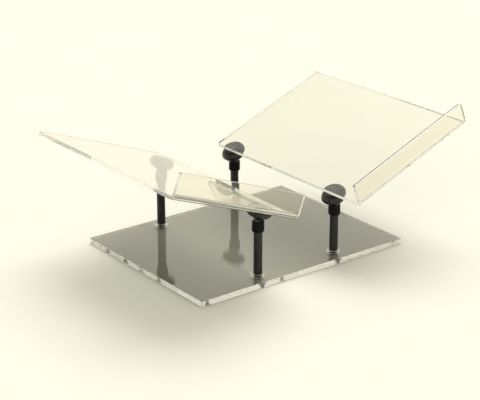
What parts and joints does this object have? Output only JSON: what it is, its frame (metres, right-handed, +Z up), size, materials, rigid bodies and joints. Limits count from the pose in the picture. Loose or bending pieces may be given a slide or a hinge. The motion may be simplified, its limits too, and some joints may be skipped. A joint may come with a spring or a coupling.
{
  "type": "album stand",
  "caption": "Adjustable stand for an open album: clear base, black posts with ball heads, and clear tilting trays with front lips.",
  "frame": {"origin": "centre of the base plate's underside", "axes": "+X to the viewer's right, +Y from the lips to the back, +Z up"},
  "size_m": [0.3956, 0.254, 0.1678],
  "materials": {
    "clear_acrylic": "polished clear sheet with bright edges",
    "black_rod": "satin black",
    "black_collar": "semi-gloss black",
    "black_cup": "glossy charcoal black",
    "steel_ball": "darkened polished steel",
    "steel_screw": "dark steel",
    "clear_pad": "clear bonding pad"
  },
  "bodies": {
    "stand": {"base_plate": "clear_acrylic", "left_front_base_screw": "steel_screw", "left_front_post": "black_rod", "left_front_foot_ring": "clear_acrylic", "left_front_ball_stud": "steel_ball", "left_back_base_screw": "steel_screw", "left_back_post": "black_rod", "left_back_foot_ring": "clear_acrylic", "left_back_ball_stud": "steel_ball", "right_front_base_screw": "steel_screw", "right_front_post": "black_rod", "right_front_foot_ring": "clear_acrylic", "right_front_ball_stud": "steel_ball", "right_back_base_screw": "steel_screw", "right_back_post": "black_rod", "right_back_foot_ring": "clear_acrylic", "right_back_ball_stud": "steel_ball"},
    "left_tray": {"left_tray": "clear_acrylic", "left_front_swivel_cup": "black_cup", "left_front_cup_pad": "clear_pad", "left_back_swivel_cup": "black_cup", "left_back_cup_pad": "clear_pad"},
    "left_front_collar": {"left_front_lock_collar": "black_collar"},
    "left_back_collar": {"left_back_lock_collar": "black_collar"},
    "right_tray": {"right_tray": "clear_acrylic", "right_front_swivel_cup": "black_cup", "right_front_cup_pad": "clear_pad", "right_back_swivel_cup": "black_cup", "right_back_cup_pad": "clear_pad"},
    "right_front_collar": {"right_front_lock_collar": "black_collar"},
    "right_back_collar": {"right_back_lock_collar": "black_collar"}
  },
  "joints": [
    {"name": "left_tray_tilt", "type": "hinge", "parent": "stand", "child": "left_tray", "pos_m": [-0.0532, 0, 0.07675], "axis": [0, 1, 0], "range_deg": [-20.5, 9.5]},
    {"name": "left_front_collar_turn", "type": "hinge", "parent": "stand", "child": "left_front_collar", "pos_m": [-0.0532, -0.0902, 0.05715], "axis": [0, 0, 1], "range_deg": [-180, 180]},
    {"name": "left_back_collar_turn", "type": "hinge", "parent": "stand", "child": "left_back_collar", "pos_m": [-0.0532, 0.0902, 0.05715], "axis": [0, 0, 1], "range_deg": [-180, 180]},
    {"name": "right_tray_tilt", "type": "hinge", "parent": "stand", "child": "right_tray", "pos_m": [0.0532, 0, 0.0704], "axis": [0, -1, 0], "range_deg": [-22, 8]},
    {"name": "right_front_collar_turn", "type": "hinge", "parent": "stand", "child": "right_front_collar", "pos_m": [0.0532, -0.0902, 0.0508], "axis": [0, 0, 1], "range_deg": [-180, 180]},
    {"name": "right_back_collar_turn", "type": "hinge", "parent": "stand", "child": "right_back_collar", "pos_m": [0.0532, 0.0902, 0.0508], "axis": [0, 0, 1], "range_deg": [-180, 180]}
  ]
}
